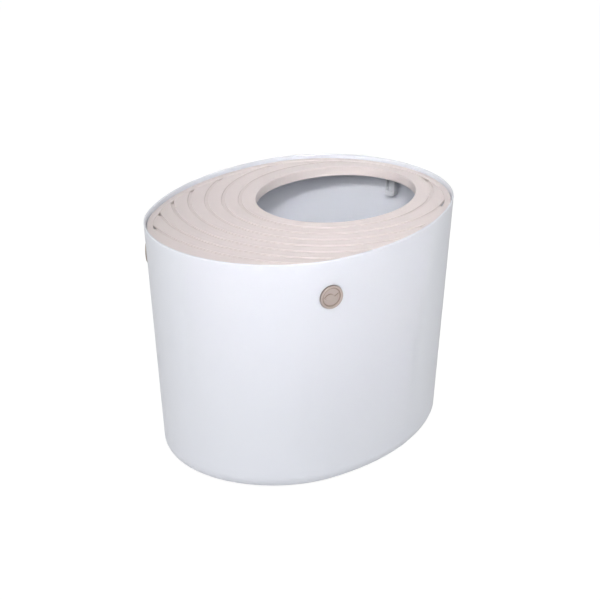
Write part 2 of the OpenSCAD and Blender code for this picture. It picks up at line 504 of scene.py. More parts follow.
class MouldGrain:
    """The node group that every moulded piece shares: tone, gloss, fine grain and painted shade
    in recesses.
    """

    NAME = "mould_grain"
    # Colour of the painted shade that darkens grooves, slot walls, gaps and the edges of reliefs.
    PAINTED_SHADE_TINT: Colour = (0.42, 0.36, 0.32, 1.0)

    @classmethod
    def group(cls) -> bpy.types.NodeTree:
        """Builds the group once and returns it.

        Returns:
            The shared node group.
        """
        found = bpy.data.node_groups.get(cls.NAME)
        if found:
            return found
        tree = bpy.data.node_groups.new(cls.NAME, "ShaderNodeTree")
        for name, kind in (
            ("Light", "NodeSocketColor"),
            ("Dark", "NodeSocketColor"),
            ("Cloud Scale", "NodeSocketFloat"),
            ("Grain Scale", "NodeSocketFloat"),
            ("Satin", "NodeSocketFloat"),
            ("Matt", "NodeSocketFloat"),
            ("Recess Shade", "NodeSocketFloat"),
        ):
            tree.interface.new_socket(name, in_out="INPUT", socket_type=kind)
        for name, kind in (
            ("Color", "NodeSocketColor"),
            ("Roughness", "NodeSocketFloat"),
            ("Height", "NodeSocketFloat"),
        ):
            tree.interface.new_socket(name, in_out="OUTPUT", socket_type=kind)
        cls._wire(tree)
        return tree

    @classmethod
    def _wire(cls, tree: bpy.types.NodeTree) -> None:
        """Places and links the group's nodes.

        Args:
            tree: The node group to fill.
        """
        nodes, link = tree.nodes, tree.links.new
        given, out = nodes.new("NodeGroupInput"), nodes.new("NodeGroupOutput")
        place = nodes.new("ShaderNodeTexCoord")
        clouds = nodes.new("ShaderNodeTexNoise")
        clouds.inputs["Detail"].default_value = 3.0
        flow = nodes.new("ShaderNodeTexNoise")
        flow.inputs["Detail"].default_value = 5.0
        flow.inputs["Roughness"].default_value = 0.6
        stretch = nodes.new("ShaderNodeMapping")
        stretch.inputs["Scale"].default_value = (1.0, 1.0, 0.25)
        grain = nodes.new("ShaderNodeTexNoise")
        grain.inputs["Detail"].default_value = 2.0
        pits = nodes.new("ShaderNodeTexVoronoi")
        tone = nodes.new("ShaderNodeMix")
        tone.data_type = "RGBA"
        gloss = nodes.new("ShaderNodeMix")
        gloss.data_type = "FLOAT"
        rise = nodes.new("ShaderNodeMath")
        rise.operation = "ADD"
        # Painted shade: the recess attribute times Recess Shade mixes the colour towards the
        # painted shade tint.
        recess = nodes.new("ShaderNodeAttribute")
        recess.attribute_name = "recess"
        shade = nodes.new("ShaderNodeMath")
        shade.operation = "MULTIPLY"
        painted_shade_mix = nodes.new("ShaderNodeMix")
        painted_shade_mix.data_type, painted_shade_mix.blend_type = "RGBA", "MULTIPLY"
        painted_shade_mix.inputs["B"].default_value = cls.PAINTED_SHADE_TINT
        link(place.outputs["Object"], clouds.inputs["Vector"])
        link(place.outputs["Object"], stretch.inputs["Vector"])
        link(stretch.outputs["Vector"], flow.inputs["Vector"])
        link(place.outputs["Object"], grain.inputs["Vector"])
        link(place.outputs["Object"], pits.inputs["Vector"])
        link(given.outputs["Cloud Scale"], clouds.inputs["Scale"])
        link(given.outputs["Cloud Scale"], flow.inputs["Scale"])
        link(given.outputs["Grain Scale"], grain.inputs["Scale"])
        link(given.outputs["Grain Scale"], pits.inputs["Scale"])
        link(clouds.outputs["Fac"], tone.inputs["Factor"])
        link(given.outputs["Light"], tone.inputs["A"])
        link(given.outputs["Dark"], tone.inputs["B"])
        link(flow.outputs["Fac"], gloss.inputs["Factor"])
        link(given.outputs["Satin"], gloss.inputs["A"])
        link(given.outputs["Matt"], gloss.inputs["B"])
        link(grain.outputs["Fac"], rise.inputs[0])
        link(pits.outputs["Distance"], rise.inputs[1])
        link(recess.outputs["Fac"], shade.inputs[0])
        link(given.outputs["Recess Shade"], shade.inputs[1])
        link(shade.outputs["Value"], painted_shade_mix.inputs["Factor"])
        link(tone.outputs["Result"], painted_shade_mix.inputs["A"])
        link(painted_shade_mix.outputs["Result"], out.inputs["Color"])
        link(gloss.outputs["Result"], out.inputs["Roughness"])
        link(rise.outputs["Value"], out.inputs["Height"])


@dataclass(frozen=True)
class MouldedFinish:
    """A moulded plastic or rubber: its two tones, its gloss, its grain and how dark its recesses
    are painted as shade.
    """

    name: str
    slot: str
    light: Colour
    dark: Colour
    satin: float
    matt: float
    cloud_scale: float = 9.0
    grain_scale: float = 1400.0
    grain_depth: float = 0.00004
    grain_strength: float = 0.25
    ior: float = 1.49
    glow: float = 0.0
    glow_depth: float = 0.004
    # How strongly the recess attribute paints shade on this finish.
    recess_shade: float = 0.0

    def material(self) -> bpy.types.Material:
        """Makes the material, or returns the one that was made before.

        Returns:
            The finish as a material.
        """
        found = bpy.data.materials.get(self.name)
        if found:
            return found
        made = bpy.data.materials.new(self.name)
        made.use_nodes = True
        nodes, link = made.node_tree.nodes, made.node_tree.links.new
        shader = nodes["Principled BSDF"]
        shader.inputs["IOR"].default_value = self.ior
        shader.inputs["Subsurface Weight"].default_value = self.glow
        shader.inputs["Subsurface Radius"].default_value = (1.0, 1.0, 1.0)
        shader.inputs["Subsurface Scale"].default_value = self.glow_depth
        grain = nodes.new("ShaderNodeGroup")
        grain.node_tree = MouldGrain.group()
        for socket, value in (
            ("Light", self.light),
            ("Dark", self.dark),
            ("Cloud Scale", self.cloud_scale),
            ("Grain Scale", self.grain_scale),
            ("Satin", self.satin),
            ("Matt", self.matt),
            ("Recess Shade", self.recess_shade),
        ):
            grain.inputs[socket].default_value = value
        bump = nodes.new("ShaderNodeBump")
        bump.inputs["Distance"].default_value = self.grain_depth
        bump.inputs["Strength"].default_value = self.grain_strength
        link(grain.outputs["Color"], shader.inputs["Base Color"])
        link(grain.outputs["Roughness"], shader.inputs["Roughness"])
        link(grain.outputs["Height"], bump.inputs["Height"])
        link(bump.outputs["Normal"], shader.inputs["Normal"])
        return made


WHITE = MouldedFinish(
    name="white_moulding",
    slot="white_plastic",
    light=(0.703, 0.718, 0.765, 1.0),
    dark=(0.683, 0.698, 0.745, 1.0),
    satin=0.30,
    matt=0.42,
    glow=1.0,
    recess_shade=0.8,
)
BEIGE = MouldedFinish(
    name="beige_moulding",
    slot="beige_plastic",
    light=(0.738, 0.667, 0.652, 1.0),
    dark=(0.712, 0.641, 0.627, 1.0),
    satin=0.34,
    matt=0.46,
    recess_shade=0.42,
)
BADGE_BEIGE = MouldedFinish(
    name="badge_moulding",
    slot="beige_plastic",
    light=(0.415, 0.350, 0.318, 1.0),
    dark=(0.388, 0.324, 0.292, 1.0),
    satin=0.34,
    matt=0.46,
    cloud_scale=30.0,
    recess_shade=0.85,
)
HOOK_WHITE = MouldedFinish(
    name="hook_moulding",
    slot="white_plastic",
    light=(0.640, 0.655, 0.690, 1.0),
    dark=(0.620, 0.635, 0.670, 1.0),
    satin=0.30,
    matt=0.42,
)
RUBBER = MouldedFinish(
    name="foot_rubber",
    slot="foot_rubber",
    light=(0.150, 0.145, 0.140, 1.0),
    dark=(0.115, 0.110, 0.106, 1.0),
    satin=0.62,
    matt=0.80,
    grain_strength=0.5,
)


# ---------------------------------------------------------------- the pan


@dataclass
class Pan:
    """The deep tub: one moulded shell with a rounded rim and an inner ledge."""

    sizes: Sizes
    columns: int = 256
    support: float = 2.0
    heel_band: float = 30.0
    rim_band: float = 60.0
    rim_row: float = 6.0
    foot_row: float = 3.0
    ledge_r: float = 0.5
    shelf_r: float = 0.4
    pad_r: float = 8.0
    pad_h: float = 1.3

    def heel(self, low: float, r: float, deep: float) -> list[tuple[float, float]]:
        """Lists the arc between the floor and the wall.

        Args:
            low: Level of the floor's face.
            r: Radius of the arc.
            deep: Depth of this face below the wall's outer face.

        Returns:
            Inset and level of each point, from the floor up.
        """
        s = self.sizes
        lean, drop = s.lean, s.height - low - r
        middle = (r + drop * math.sin(lean) + deep) / math.cos(lean)
        turns = arc((0.0, low + r), r, -90.0, -s.draft, 14)
        return [(middle - x, z) for x, z in turns]

    def profile(self) -> list[tuple[float, float]]:
        """Lists inset and level round the shell's section, from outside to inside.

        Returns:
            Inset from the rim and height of each row.
        """
        s = self.sizes
        edge_r = s.wall_t / 2
        top = s.height - edge_r
        outside = self.heel(s.foot_h, s.heel_r, 0.0)
        inside = self.heel(s.foot_h + s.floor_t, s.heel_r - s.wall_t, s.wall_t)
        first, last = outside[-1][1], top
        levels = [first + self.support, first + self.heel_band, s.height / 2]
        levels += [last - self.rim_band, last - self.rim_row, last - self.support]
        outside = [(outside[0][0] + self.support, outside[0][1])] + outside
        outside += [(s.wall_in(z), z) for z in levels]
        rim = [(2 * edge_r - x, z) for x, z in arc((edge_r, top), edge_r, 0, 180, 10)]
        shelf = s.ledge_z - s.wall_t
        foot = shelf - s.ledge_w
        ledge = [
            (s.inner(top - 1.0), top - 1.0),
            (s.inner(s.ledge_z + 0.3), s.ledge_z + 0.3),
            (s.inner(s.ledge_z) + 0.3, s.ledge_z),
            (s.ledge_in - self.ledge_r, s.ledge_z),
            (s.ledge_in, s.ledge_z - self.ledge_r),
            (s.ledge_in, shelf + self.ledge_r),
            (s.ledge_in - self.shelf_r, shelf - self.shelf_r),
            (s.inner(foot) + self.shelf_r, foot + self.shelf_r),
            (s.inner(foot - 0.6), foot - 0.6),
        ]
        down = [foot - self.foot_row, foot - self.rim_band, s.height / 2]
        down.append(inside[-1][1] + self.support)
        inner = [(s.inner(z), z) for z in down] + inside[::-1]
        inner.append((inside[0][0] + self.support, inside[0][1]))
        return outside + rim + ledge + inner

    def fixings(self, skin: Skin, badges: Sequence[Badge], hook: ScoopHook) -> None:
        """Adds the pads behind the badges and the boss behind the hook.

        Args:
            skin: The pan's skin.
            badges: The badges on the wall.
            hook: The hook inside the wall.
        """
        s = self.sizes
        inner_face = -s.wall_t
        pad = [(self.pad_r, inner_face + 1.0), (self.pad_r, inner_face - self.pad_h)]
        pad.append((self.pad_r - 0.6, inner_face - self.pad_h - 0.4))
        for badge in badges:
            add_turned(skin, pad[::-1], badge.place)
        add_turned(skin, hook.boss(), hook.boss_place)

    def build(self, badges: Sequence[Badge], hook: ScoopHook) -> bpy.types.Object:
        """Builds the pan.

        Args:
            badges: The badges on the wall.
            hook: The hook inside the wall.

        Returns:
            The finished pan.
        """
        s = self.sizes
        turns = [math.tau * j / self.columns for j in range(self.columns)]
        skin = Skin()
        rows = [
            skin.row([(*s.rim.point(t, inset), z) for t in turns])
            for inset, z in self.profile()
        ]
        for low, high in zip(rows, rows[1:]):
            skin.bridge(low, high)
        skin.cap(rows[0][::-1])
        skin.cap(rows[-1])
        self.fixings(skin, badges, hook)
        mesh = skin.mesh("litter_pan_shell")
        tidy_mesh(mesh)
        piece = add_object(mesh)
        for badge in badges:
            cut_out(piece, badge.cutter())
            badge.paint_pocket_shade(piece.data)
        dress(piece, WHITE.material(), Body.PAN, "litter_pan", WHITE.slot)
        return piece


def add_turned(
    skin: Skin,
    profile: Sequence[tuple[float, float]],
    place: Matrix,
    columns: int = 40,
) -> None:
    """Adds a turned solid to a skin at a placement.

    Args:
        skin: The skin that takes the solid.
        profile: Radius and height of each ring.
        place: Placement, in metres.
        columns: Number of points round.
    """
    part = Skin()
    lathe(part, profile, columns)
    first = len(skin.points)
    for point in part.points:
        moved = (place @ (Vector(point) * MM)) / MM
        skin.points.append(tuple(moved))
    skin.faces.extend([[first + i for i in face] for face in part.faces])


# ---------------------------------------------------------------- the lid


class GroovePress:
    """The node tree that presses the grooves into the lid's deck."""

    def __init__(self, sizes: Sizes, edge: float) -> None:
        """Builds the tree.

        Args:
            sizes: The box's dimensions.
            edge: Half the width of a groove's sloping edge, in millimetres.
        """
        self.values = {
            "Start": sizes.groove_start * MM,
            "Pitch": sizes.groove_pitch * MM,
            "Width": sizes.groove_w * MM,
            "Depth": sizes.groove_depth * MM,
            "Edge": edge * MM,
            "Last": float(sizes.groove_count - 1),
        }
        self.tree = bpy.data.node_groups.new("groove_press", "GeometryNodeTree")
        face = self.tree.interface
        face.new_socket(
            "Geometry", in_out="INPUT", socket_type="NodeSocketGeometry"
        )
        self.sockets = {
            name: face.new_socket(
                name, in_out="INPUT", socket_type="NodeSocketFloat"
            ).identifier
            for name in self.values
        }
        self.material = face.new_socket(
            "Material", in_out="INPUT", socket_type="NodeSocketMaterial"
        ).identifier
        face.new_socket(
            "Geometry", in_out="OUTPUT", socket_type="NodeSocketGeometry"
        )
        self._wire()

    def _maths(self, operation: str, *terms: object) -> bpy.types.NodeSocket:
        """Adds a maths node.

        Args:
            operation: The node's operation.
            terms: Its inputs: sockets or plain numbers.

        Returns:
            The node's result.
        """
        node = self.tree.nodes.new("ShaderNodeMath")
        node.operation = operation
        for i, term in enumerate(terms):
            if isinstance(term, bpy.types.NodeSocket):
                self.tree.links.new(term, node.inputs[i])
            else:
                node.inputs[i].default_value = term
        return node.outputs["Value"]

    def _wire(self) -> None:
        """Places and links the tree's nodes."""
        nodes, link, maths = self.tree.nodes, self.tree.links.new, self._maths
        given, out = nodes.new("NodeGroupInput"), nodes.new("NodeGroupOutput")
        fields = {}
        for name in ("from_hole", "upper"):
            reader = nodes.new("GeometryNodeInputNamedAttribute")
            reader.data_type = "FLOAT"
            reader.inputs["Name"].default_value = name
            fields[name] = reader.outputs["Attribute"]
        half = maths("MULTIPLY", given.outputs["Width"], 0.5)
        first = maths("ADD", given.outputs["Start"], half)
        local = maths("SUBTRACT", fields["from_hole"], first)
        count = maths("ROUND", maths("DIVIDE", local, given.outputs["Pitch"]))
        number = maths("MAXIMUM", maths("MINIMUM", count, given.outputs["Last"]), 0.0)
        centre = maths("MULTIPLY", number, given.outputs["Pitch"])
        inside = maths("SUBTRACT", half, maths("ABSOLUTE", maths("SUBTRACT", local, centre)))
        ramp = nodes.new("ShaderNodeMapRange")
        ramp.interpolation_type = "SMOOTHSTEP"
        link(inside, ramp.inputs["Value"])
        link(maths("MULTIPLY", given.outputs["Edge"], -1.0), ramp.inputs["From Min"])
        link(given.outputs["Edge"], ramp.inputs["From Max"])
        drop = maths("MULTIPLY", ramp.outputs["Result"], given.outputs["Depth"])
        shift = nodes.new("ShaderNodeCombineXYZ")
        link(maths("MULTIPLY", maths("MULTIPLY", drop, fields["upper"]), -1.0), shift.inputs["Z"])
        press = nodes.new("GeometryNodeSetPosition")
        real = nodes.new("GeometryNodeRealizeInstances")
        paint = nodes.new("GeometryNodeSetMaterial")
        link(given.outputs["Geometry"], press.inputs["Geometry"])
        link(shift.outputs["Vector"], press.inputs["Offset"])
        link(press.outputs["Geometry"], real.inputs["Geometry"])
        link(real.outputs["Geometry"], paint.inputs["Geometry"])
        link(given.outputs["Material"], paint.inputs["Material"])
        link(paint.outputs["Geometry"], out.inputs["Geometry"])

    def apply(self, piece: bpy.types.Object, material: bpy.types.Material) -> None:
        """Runs the tree on a piece and keeps the result as its plain mesh.

        Args:
            piece: The lid before its grooves are pressed.
            material: The material that the tree sets.
        """
        values = {self.sockets[name]: value for name, value in self.values.items()}
        values[self.material] = material
        apply_tree(piece, self.tree, values)


def apply_tree(
    piece: bpy.types.Object, tree: bpy.types.NodeTree, values: dict[str, object]
) -> None:
    """Runs a geometry tree on a piece and keeps the result as its plain mesh.

    Args:
        piece: The piece whose mesh is the tree's input.
        tree: The geometry node tree.
        values: The tree's input values by socket identifier.
    """
    modifier = piece.modifiers.new(tree.name, "NODES")
    modifier.node_group = tree
    for identifier, value in values.items():
        modifier[identifier] = value
    keep_result(piece, modifier)


@dataclass
class Lid:
    """The drop-in lid: border, grooved deck, drain slots, rib and collar."""

    sizes: Sizes
    columns: int = 720
    edge: float = 0.45
    round_r: float = 1.2
    soft: float = 0.4
    border_row: float = 1.5
    outer_row: float = 2.5
    collar_soft: float = 0.6
    collar_row: float = 1.5
    lip_row: float = 1.0
    edge_rows: tuple[float, ...] = (-1.0, -0.3, 0.3, 1.0)
    # Painted shade on the grooves' edge rows and on the drain slots' walls.
    edge_shades: tuple[float, ...] = (0.0, 1.0, 1.0, 0.3)
    slot_shade: float = 1.1
    slot_walls: set[int] = field(default_factory=set)
    turns: list[float] = field(default_factory=list)
    reach: list[float] = field(default_factory=list)

    def find_border(self) -> None:
        """Works out, column by column, how far the deck reaches from the hole."""
        s = self.sizes
        self.turns = [math.tau * j / self.columns for j in range(self.columns)]
        self.reach = [self._border_at(t, s.border_in) for t in self.turns]

    def _border_at(self, turn: float, inset: float) -> float:
        """Finds where a ray from the hole meets an inset of the rim.

        Args:
            turn: Direction of the ray.
            inset: Distance in from the rim's outline.

        Returns:
            The distance along the ray from the hole's edge.
        """
        s = self.sizes
        near, far = 0.0, s.length
        for _ in range(40):
            middle = (near + far) / 2
            if s.rim.locate(*s.hole.point(turn, -middle))[1] > inset:
                near = middle
            else:
                far = middle
        return near

    def groove_edges(self, i: int) -> tuple[float, float]:
        """Returns the distances from the hole at which a groove starts and ends."""
        first = self.sizes.groove_start + i * self.sizes.groove_pitch
        return first, first + self.sizes.groove_w

    def floor_rows(self, i: int) -> tuple[float, float]:
        """Returns the distances between which a groove's floor is flat."""
        first, last = self.groove_edges(i)
        return first + self.edge, last - self.edge

    def deck_rows(self) -> list[float]:
        """Lists the distances from the hole at which the deck's top has a row.

        Returns:
            Each row's distance from the hole.
        """
        rows = [self.sizes.lip_r + self.lip_row]
        for i in range(self.sizes.groove_count):
            first, last = self.groove_edges(i)
            rows += [first + self.edge * e for e in self.edge_rows]
            rows += [last + self.edge * e for e in self.edge_rows]
        rows.append(self.sizes.length)
        return rows

    def is_slot(self, i: int, j: int) -> bool:
        """Says whether a groove opens into a drain slot in a column.

        Args:
            i: Number of the groove.
            j: Number of the column.

        Returns:
            True where the floor of the groove is open.
        """
        s = self.sizes
        k = (j + 1) % self.columns
        reach = max(self.reach[j], self.reach[k])
        first, last = self.floor_rows(i)
        if reach <= first + 0.05:
            return False
        turn = self.turns[j] + math.pi / self.columns
        middle = (first + min(last, reach)) / 2
        depth = s.rim.locate(*s.hole.point(turn, -middle))[1]
        return depth < s.border_in + s.slot_reach

    def ray_row(self, distance: float, z: float) -> list[Point]:
        """Makes a row at one distance from the hole, cut short at the border.

        Args:
            distance: Distance from the hole's edge.
            z: Height of the row.

        Returns:
            The row's points.
        """
        hole = self.sizes.hole
        return [
            (*hole.point(t, -min(distance, r)), z)
            for t, r in zip(self.turns, self.reach)
        ]

    def rim_row(self, inset: float, z: float) -> list[Point]:
        """Makes a row at one distance from the rim, facing the columns' ends.

        Args:
            inset: Distance in from the rim's outline.
            z: Height of the row.

        Returns:
            The row's points.
        """
        s = self.sizes
        row = []
        for t, r in zip(self.turns, self.reach):
            angle, _ = s.rim.locate(*s.hole.point(t, -r))
            row.append((*s.rim.point(angle, inset), z))
        return row

    def border_rows(self) -> list[list[Point]]:
        """Lists the rows from the deck's edge round the border to the rib.

        Returns:
            The rows, from the deck outwards.
        """
        s, e = self.sizes, self.soft
        rib_out = s.ledge_in + s.lid_gap
        rib_in, rib_z = rib_out + s.rib_t, s.ledge_z - s.rib_h
        corner = arc((0.0, s.lid_z - self.round_r), self.round_r, 90, 0, 5)
        stations = [(s.border_in, s.lid_z - e), (s.border_in - e, s.lid_z)]
        stations.append((s.border_in - self.border_row, s.lid_z))
        stations.append((s.lid_in + self.outer_row, s.lid_z))
        stations += [(s.lid_in + self.round_r - x, z) for x, z in corner]
        stations += [(s.lid_in, s.ledge_z + e), (s.lid_in + e, s.ledge_z)]
        stations += [(rib_out, s.ledge_z), (rib_out, rib_z + e), (rib_out + e, rib_z)]
        stations += [(rib_in - e, rib_z), (rib_in, rib_z + e), (rib_in, s.ledge_z)]
        return [self.rim_row(inset, z) for inset, z in stations]

    def collar_rows(self) -> list[list[Point]]:
        """Lists the rows from under the deck, down the collar and up to the lip.

        Returns:
            The rows, from under the deck round to its top.
        """
        s = self.sizes
        low = s.ledge_z - s.collar_h
        half = s.collar_t / 2
        bottom = arc((half, low + half), half, 0, -180, 8)
        straight = low + half + self.collar_row
        stations = [(s.collar_t + self.collar_soft, s.ledge_z)]
        stations.append((s.collar_t, s.ledge_z - self.collar_soft))
        stations += [(s.collar_t, straight)] + bottom
        stations += [(0.0, straight), (0.0, s.deck_z - s.lip_r - self.lip_row)]
        stations += arc((s.lip_r, s.deck_z - s.lip_r), s.lip_r, 180, 90, 8)
        return [self.ray_row(distance, z) for distance, z in stations]

    def build(self) -> bpy.types.Object:
        """Builds the lid.

        Returns:
            The finished lid.
        """
        s = self.sizes
        self.find_border()
        skin = Skin()
        rows = self.deck_rows()
        upper = [skin.row(self.ray_row(d, s.deck_z)) for d in rows]
        open_rows = [self.floor_rows(i) for i in range(s.groove_count)]
        under_at = [d for pair in open_rows for d in pair] + [s.length]
        under = [skin.row(self.ray_row(d, s.ledge_z)) for d in under_at]
        border = [skin.row(row) for row in self.border_rows()]
        collar = [skin.row(row) for row in self.collar_rows()]
        per_groove = 2 * len(self.edge_rows)
        self.join_plate(skin, upper, under, per_groove)
        self.join_loop(skin, [upper[-1], *border, under[-1]])
        self.join_loop(skin, [under[0], *collar, upper[0]])
        mesh = skin.mesh("grooved_lid")
        self.mark_distances(mesh, upper, rows)
        self.paint_recess_shade(mesh, upper)
        piece = add_object(mesh)
        press = GroovePress(s, self.edge)
        press.apply(piece, BEIGE.material())
        tidy_mesh(piece.data)
        dress(piece, BEIGE.material(), Body.LID, "lid", BEIGE.slot)
        return piece

    def join_loop(self, skin: Skin, rows: Sequence[Sequence[int]]) -> None:
        """Bridges each row to the next."""
        for low, high in zip(rows, rows[1:]):
            skin.bridge(low, high)

    def join_plate(
        self,
        skin: Skin,
        upper: Sequence[Sequence[int]],
        under: Sequence[Sequence[int]],
        per_groove: int,
    ) -> None:
        """Bridges the deck's two faces and walls the drain slots.

        Args:
            skin: The lid's skin.
            upper: Rows of the top face, from the hole outwards.
            under: Rows of the underside, from the hole outwards.
            per_groove: Number of top rows that each groove has.
        """
        floors = {
            1 + i * per_groove + per_groove // 2 - 1: i
            for i in range(self.sizes.groove_count)
        }
        for n, (low, high) in enumerate(zip(upper, upper[1:])):
            groove = floors.get(n)
            if groove is None:
                skin.bridge(low, high)
            else:
                skin.bridge(low, high, lambda j, g=groove: not self.is_slot(g, j))
                self.wall_slots(skin, groove, (low, high), under)
        for n, (low, high) in enumerate(zip(under, under[1:])):
            if n % 2:
                skin.bridge(low, high)
            else:
                skin.bridge(low, high, lambda j, g=n // 2: not self.is_slot(g, j))

    def wall_slots(
        self,
        skin: Skin,
        groove: int,
        top: tuple[Sequence[int], Sequence[int]],
        under: Sequence[Sequence[int]],
    ) -> None:
        """Walls the sides and ends of a groove's drain slots.

        Args:
            skin: The lid's skin.
            groove: Number of the groove.
            top: The groove floor's two rows.
            under: Rows of the underside.
        """
        base = (under[2 * groove], under[2 * groove + 1])
        open_at = [self.is_slot(groove, j) for j in range(self.columns)]
        for j, is_open in enumerate(open_at):
            k = (j + 1) % self.columns
            if is_open:
                for side in (0, 1):
                    a, b = top[side], base[side]
                    self.slot_walls.add(len(skin.faces))
                    skin.faces.append([a[j], a[k], b[k], b[j]])
            if is_open != open_at[j - 1]:
                self.slot_walls.add(len(skin.faces))
                skin.faces.append([top[0][j], top[1][j], base[1][j], base[0][j]])

    def mark_distances(
        self,
        mesh: bpy.types.Mesh,
        upper: Sequence[Sequence[int]],
        rows: Sequence[float],
    ) -> None:
        """Writes where each point of the deck's top lies, for the groove press.

        Args:
            mesh: The lid's mesh.
            upper: Numbers of the top face's points, row by row.
            rows: Distance of each row from the hole.
        """
        far = mesh.attributes.new("from_hole", "FLOAT", "POINT")
        top = mesh.attributes.new("upper", "FLOAT", "POINT")
        for numbers, distance in zip(upper, rows):
            for j, number in enumerate(numbers):
                far.data[number].value = min(distance, self.reach[j]) * MM
                top.data[number].value = 1.0

    def paint_recess_shade(
        self, mesh: bpy.types.Mesh, upper: Sequence[Sequence[int]]
    ) -> None:
        """Paints shade on the grooves' edges and the slots' walls, through the recess attribute.

        Args:
            mesh: The lid's mesh.
            upper: Numbers of the top face's points, row by row.
        """
        shades = [0.0]
        for _ in range(self.sizes.groove_count):
            shades += [*self.edge_shades, *self.edge_shades[::-1]]
        shade_of = {n: shade for row, shade in zip(upper, shades) for n in row}
        # Painted shade: one value per corner, which the finish turns into darker colour.
        recess = mesh.attributes.new("recess", "FLOAT", "CORNER")
        for face in mesh.polygons:
            on_wall = face.index in self.slot_walls
            for loop in face.loop_indices:
                point = mesh.loops[loop].vertex_index
                shade = self.slot_shade if on_wall else shade_of.get(point, 0.0)
                recess.data[loop].value = shade


# ---------------------------------------------------------------- the badges


@dataclass
class Badge:
    """A round badge with a raised ring, a fish in relief and a snap-in stem."""

    sizes: Sizes
    side: Side
    node: str
    r: float = 18.0
    proud: float = 2.6
    turn: float = 118.0
    drop: float = 58.0
    ring_w: float = 2.8
    ring_h: float = 2.2
    relief: float = 1.2
    gap: float = 0.9
    cut_over: float = 4.0
    seat_depth: float = 0.3
    stem_r: float = 4.0
    barb_h: float = 3.0
    barb_gap: float = 0.15
    barb_out: float = 0.8
    edge_r: float = 0.7
    bowl_r: float = 1.0
    steps: int = 96
    fish_steps: int = 20
    relief_rows: tuple[tuple[float, float], ...] = (
        (-0.3, -0.3),
        (0.0, 0.35),
        (0.25, 0.75),
        (0.6, 0.95),
        (1.1, 1.0),
    )

    @property
    def place(self) -> Matrix:
        """The badge's placement on the wall."""
        turn = math.radians(self.turn) * self.side.value
        return self.sizes.on_wall(turn, self.drop)

    @property
    def seat(self) -> float:
        """Depth of the badge's back below the wall's face at its middle."""
        wall_r = self.sizes.rim.end_r - self.sizes.wall_in(self.sizes.height - self.drop)
        return self.r**2 / (2 * wall_r) + self.seat_depth

    @property
    def face(self) -> float:
        """Height of the badge's face above the wall."""
        return self.proud - self.ring_h

    def profile(self) -> list[tuple[float, float]]:
        """Lists radius and height from the stem's tip round to the face's middle.

        Returns:
            Radius and height of each ring of points.
        """
        back = -self.seat
        tip = back - self.sizes.wall_t - self.barb_gap - self.barb_h
        soft, bowl, face = self.edge_r, self.bowl_r, self.face
        inner = self.r - self.ring_w
        outline = [(self.stem_r - 1.0, tip), (self.stem_r - 0.5, tip + 0.5)]
        outline.append((self.stem_r + self.barb_out, tip + self.barb_h - 0.2))
        outline.append((self.stem_r, tip + self.barb_h))
        outline += [(self.stem_r, back - 0.1), (self.stem_r + 0.3, back)]
        outline += [(self.r - 0.2, back), (self.r, back + 0.2)]
        outline += arc((self.r - soft, self.proud - soft), soft, 0, 90, 6)
        outline += arc((inner + soft, self.proud - soft), soft, 90, 165, 5)
        outline += arc((inner - bowl, face + bowl), bowl, 0, -90, 6)
        return outline + [(inner - 3.0, face), (1.0, face)]

    def fish(self, shrink: float) -> list[tuple[float, float]]:
        """Lists the fish's outline: a leaf-shaped body and a forked tail.

        Args:
            shrink: How far the outline is moved inwards, roughly.

        Returns:
            The outline's points, round from the nose.
        """
        r = self.r
        half, nose, root = 0.30 * r - shrink, -0.66 * r + shrink, 0.30 * r
        waist = 0.07 * r - 0.3 * shrink
        upper = []
        for i in range(self.fish_steps):
            along = i / self.fish_steps
            belly = half * math.sin(math.pi * along) ** 0.85
            upper.append((nose + (root - nose) * along, max(belly, waist * along)))
        fork, tip = 0.52 * r - shrink, 0.60 * r - shrink
        upper += [(root, waist), (tip, 0.29 * r - 1.4 * shrink)]
        lower = [(x, -y) for x, y in upper[:0:-1]]
        return upper + [(fork, 0.0)] + lower

    def add_relief(self, skin: Skin) -> None:
        """Raises the fish on the badge's face, with a rounded edge.

        Args:
            skin: The badge's skin.
        """
        rows = []
        for shrink, up in self.relief_rows:
            height = self.face + up * self.relief
            points = [(x, y, height) for x, y in self.fish(shrink)]
            rows.append(skin.row(points))
        for low, high in zip(rows, rows[1:]):
            skin.bridge(low, high)
        skin.cap(rows[0][::-1])
        skin.cap(rows[-1])

    def paint_recess_shade(self, mesh: bpy.types.Mesh) -> None:
        """Paints shade on the low parts: round the back, at the foot of the ring and round the
        fish.

        Args:
            mesh: The badge's mesh, not yet on the wall.
        """
        # Painted shade round the badge's back, at the ring's foot and round the fish's edge.
        recess = mesh.attributes.new("recess", "FLOAT", "POINT")
        inner = self.r - self.ring_w - 0.2
        for point, mark in zip(mesh.vertices, recess.data):
            far, up = point.co.xy.length / MM, point.co.z / MM - self.face
            behind = far > inner and up + self.face < 0.0
            at_ring = inner - 1.2 < far < inner + 0.1 and up < 0.25
            at_fish = far < inner - 1.2 and 0.05 < abs(up) < 0.8 * self.relief
            mark.value = 1.0 if behind or at_ring or at_fish else 0.0

    def paint_pocket_shade(self, mesh: bpy.types.Mesh) -> None:
        """Paints shadow on the bottom of the badge's pocket in the pan's mesh, in the gap round
        the badge.

        Args:
            mesh: The pan's mesh, with the pocket cut.
        """
        recess = mesh.attributes.get("recess") or mesh.attributes.new("recess", "FLOAT", "POINT")
        # Painted shadow in the gap round the badge.
        back = self.place.inverted()
        for point, mark in zip(mesh.vertices, recess.data):
            spot = back @ point.co
            near = math.hypot(spot.x, spot.y) < (self.r + self.gap + 0.05) * MM
            if near and abs(spot.z + self.seat * MM) < 1e-4:
                mark.value = 1.0

